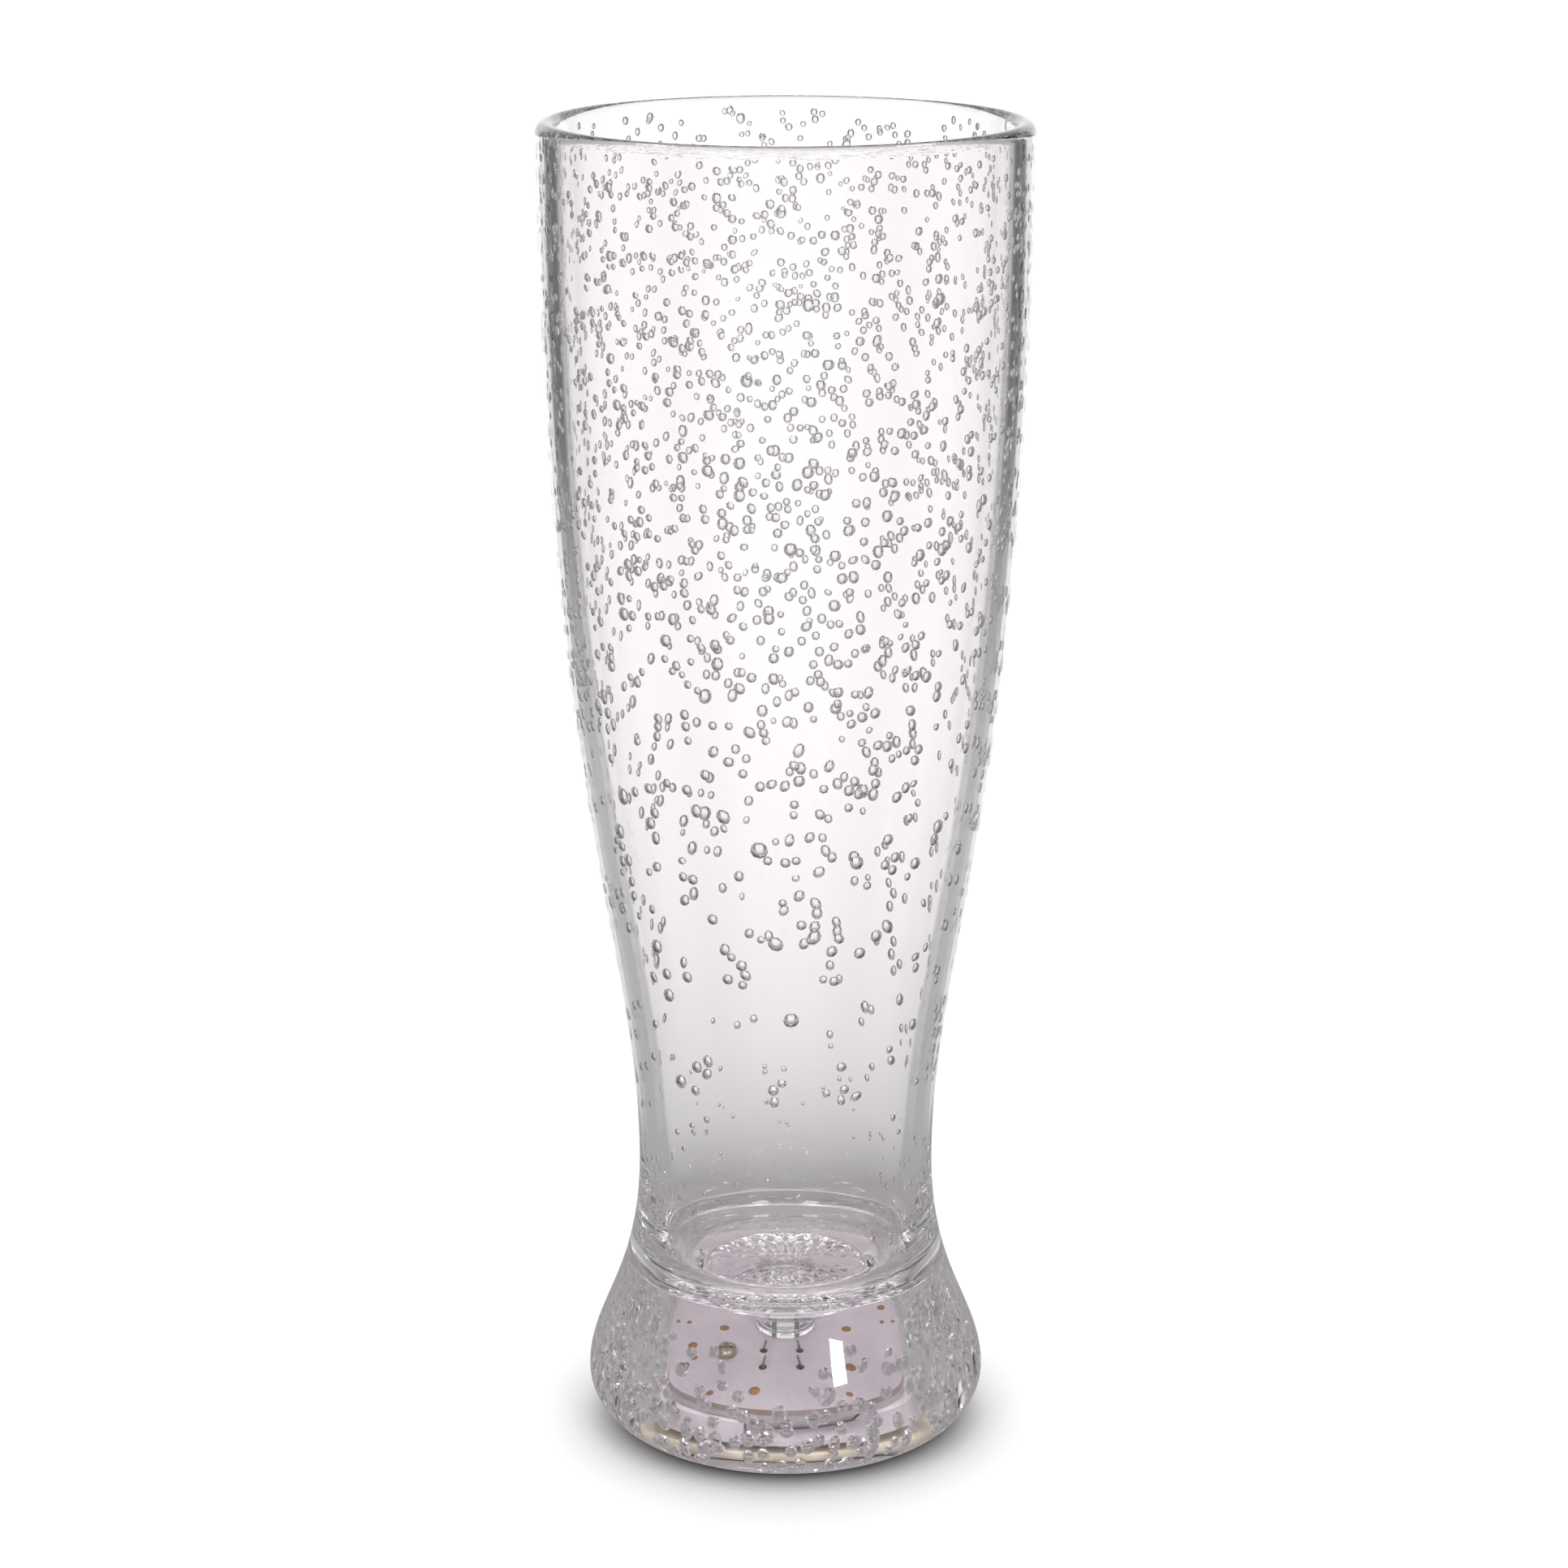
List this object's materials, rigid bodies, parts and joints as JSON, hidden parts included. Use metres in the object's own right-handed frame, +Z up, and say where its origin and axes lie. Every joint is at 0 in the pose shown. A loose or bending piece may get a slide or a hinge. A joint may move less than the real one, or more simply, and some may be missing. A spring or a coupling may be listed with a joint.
{
  "type": "light-up pilsner glass",
  "caption": "Tall clear acrylic light-up pilsner glass with bubbled walls, a narrow waist and a flared base that holds a battery lamp module with a push button underneath",
  "frame": {"origin": "centre of the foot ring, on the table", "axes": "+Z runs up the glass's axis through the rim; -Y faces the viewer of the picture; +X to the viewer's right"},
  "size_m": [0.0796, 0.0796, 0.221],
  "materials": {
    "clear_acrylic": "clear moulded acrylic full of small air bubbles, polished",
    "white_abs": "moulded white ABS, satin",
    "grey_abs": "moulded pale grey ABS, satin",
    "cream_silicone": "cream silicone, matte",
    "nickel_steel": "nickel plated steel",
    "cell_steel": "bright plated steel can",
    "tinned_metal": "tinned metal, slightly dull",
    "white_board": "white solder mask on a tan paper board",
    "clear_epoxy": "water-clear cast epoxy",
    "black_plastic": "black moulded plastic and resin"
  },
  "bodies": {
    "glass": {"cup": "clear_acrylic", "base_shell": "clear_acrylic", "bottom_cover": "white_abs", "cover_seal": "cream_silicone", "battery_door": "white_abs", "door_screw": "nickel_steel", "board_screw_1": "nickel_steel", "board_screw_2": "nickel_steel", "button_cell_1": "cell_steel", "button_cell_2": "cell_steel", "button_cell_3": "cell_steel", "contact_positive": "tinned_metal", "contact_link_low": "tinned_metal", "contact_link_high": "tinned_metal", "contact_negative": "tinned_metal", "circuit_board": "white_board", "led_body": "clear_epoxy", "led_anode_lead": "tinned_metal", "led_cathode_lead": "tinned_metal", "controller_chip": "black_plastic", "switch_body": "black_plastic", "switch_leg_1": "tinned_metal", "switch_leg_2": "tinned_metal", "switch_leg_3": "tinned_metal", "switch_leg_4": "tinned_metal"},
    "button": {"power_button": "grey_abs"},
    "plunger": {"switch_plunger": "black_plastic"}
  },
  "joints": [
    {"name": "press_button", "type": "slide", "parent": "glass", "child": "button", "axis": [0, 0, 1], "range_m": [0, 0.0008], "stiffness_N_per_m": 1500},
    {"name": "press_plunger", "type": "slide", "parent": "glass", "child": "plunger", "axis": [0, 0, 1], "range_m": [0, 0.0008]}
  ],
  "couplings": [
    {"joint": "press_plunger", "follows": "press_button", "ratio": 1}
  ]
}
